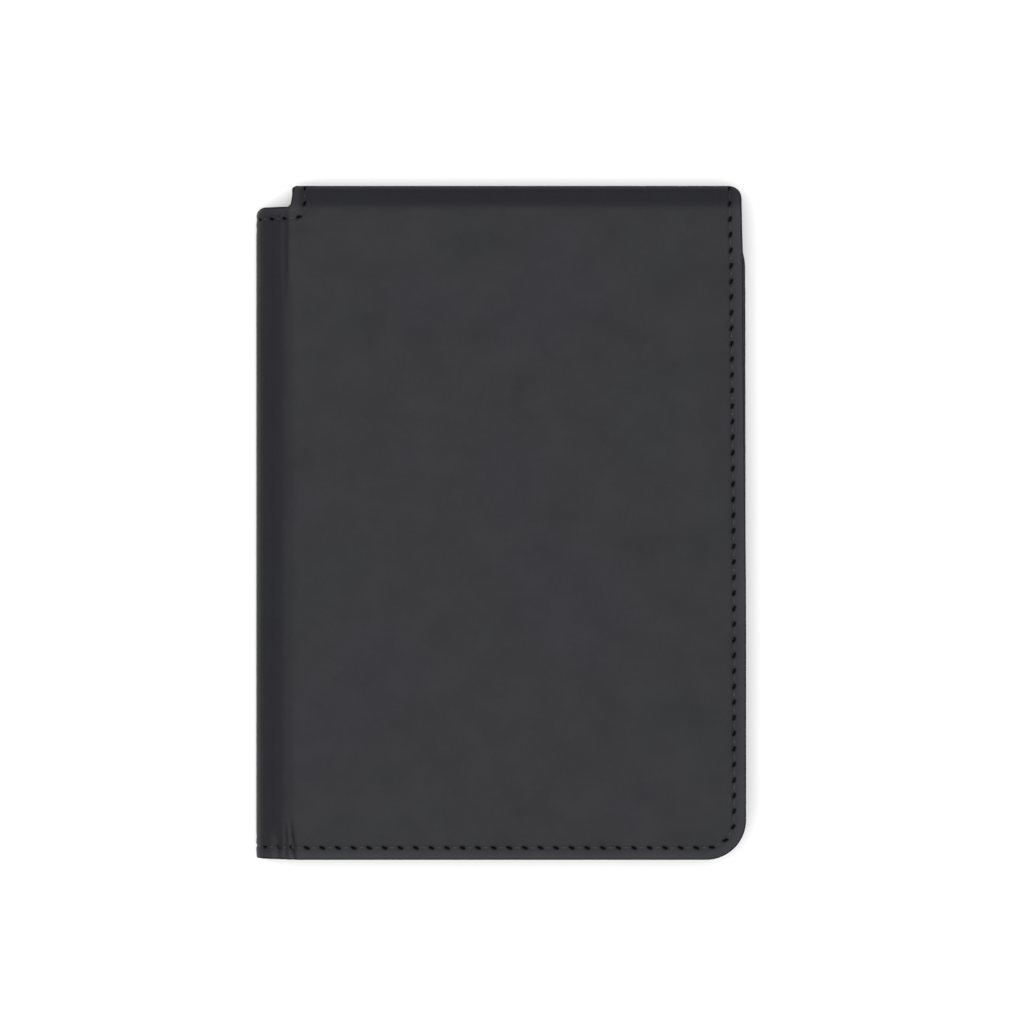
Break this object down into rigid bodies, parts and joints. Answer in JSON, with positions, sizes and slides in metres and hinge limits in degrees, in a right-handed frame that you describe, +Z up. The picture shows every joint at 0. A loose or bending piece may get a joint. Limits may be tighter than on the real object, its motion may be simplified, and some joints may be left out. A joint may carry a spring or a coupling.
{
  "type": "bifold wallet",
  "caption": "Travel-size bifold wallet in smooth leather with a squared spine, a full-width document sleeve, stepped card slots and a passport pocket.",
  "frame": {"origin": "centre of the closed wallet's footprint, on the surface that its back cover lies on", "axes": "+X from the spine to the free edge, +Y towards the open end of the document sleeve, +Z up through the front cover"},
  "size_m": [0.1014, 0.14, 0.009],
  "materials": {
    "outer_leather": "matte",
    "inner_leather": "matte",
    "lining": "matte",
    "board": "matte",
    "thread": "satin"
  },
  "bodies": {
    "back_cover": {"back_outer_leather": "outer_leather", "back_turned_hem": "outer_leather", "back_board": "board", "back_sleeve_lining": "lining", "back_panel_lining": "lining", "back_inner_panel": "inner_leather", "card_slot_1": "inner_leather", "card_slot_2": "inner_leather", "card_slot_3": "inner_leather", "card_slot_4": "inner_leather", "card_slot_stitches": "thread", "back_seam_stitches": "thread"},
    "spine": {"spine_leather": "outer_leather", "spine_sleeve_lining": "lining", "spine_inner_leather": "inner_leather", "spine_stitches": "thread"},
    "hinge_strip": {"hinge_strip_leather": "outer_leather", "hinge_strip_sleeve_lining": "lining", "hinge_strip_inner_leather": "inner_leather", "hinge_strip_stitches": "thread"},
    "front_cover": {"front_outer_leather": "outer_leather", "front_turned_hem": "outer_leather", "front_board": "board", "front_sleeve_lining": "lining", "front_panel_lining": "lining", "front_inner_panel": "inner_leather", "passport_pocket": "inner_leather", "passport_pocket_stitches": "thread", "front_seam_stitches": "thread"}
  },
  "joints": [
    {"name": "spine_fold", "type": "hinge", "parent": "back_cover", "child": "spine", "pos_m": [-0.05075, 0, 0], "axis": [0, -1, 0], "range_deg": [0, 90]},
    {"name": "hinge_strip_fold", "type": "hinge", "parent": "spine", "child": "hinge_strip", "pos_m": [-0.05075, 0, 0.005], "axis": [0, -1, 0], "range_deg": [0, 61.45]},
    {"name": "cover_crease", "type": "hinge", "parent": "hinge_strip", "child": "front_cover", "pos_m": [-0.0434, 0, 0.009], "axis": [0, -1, 0], "range_deg": [0, 28.56]}
  ],
  "couplings": [
    {"joint": "hinge_strip_fold", "follows": "spine_fold", "ratio": 0.6827},
    {"joint": "cover_crease", "follows": "spine_fold", "ratio": 0.3173}
  ]
}
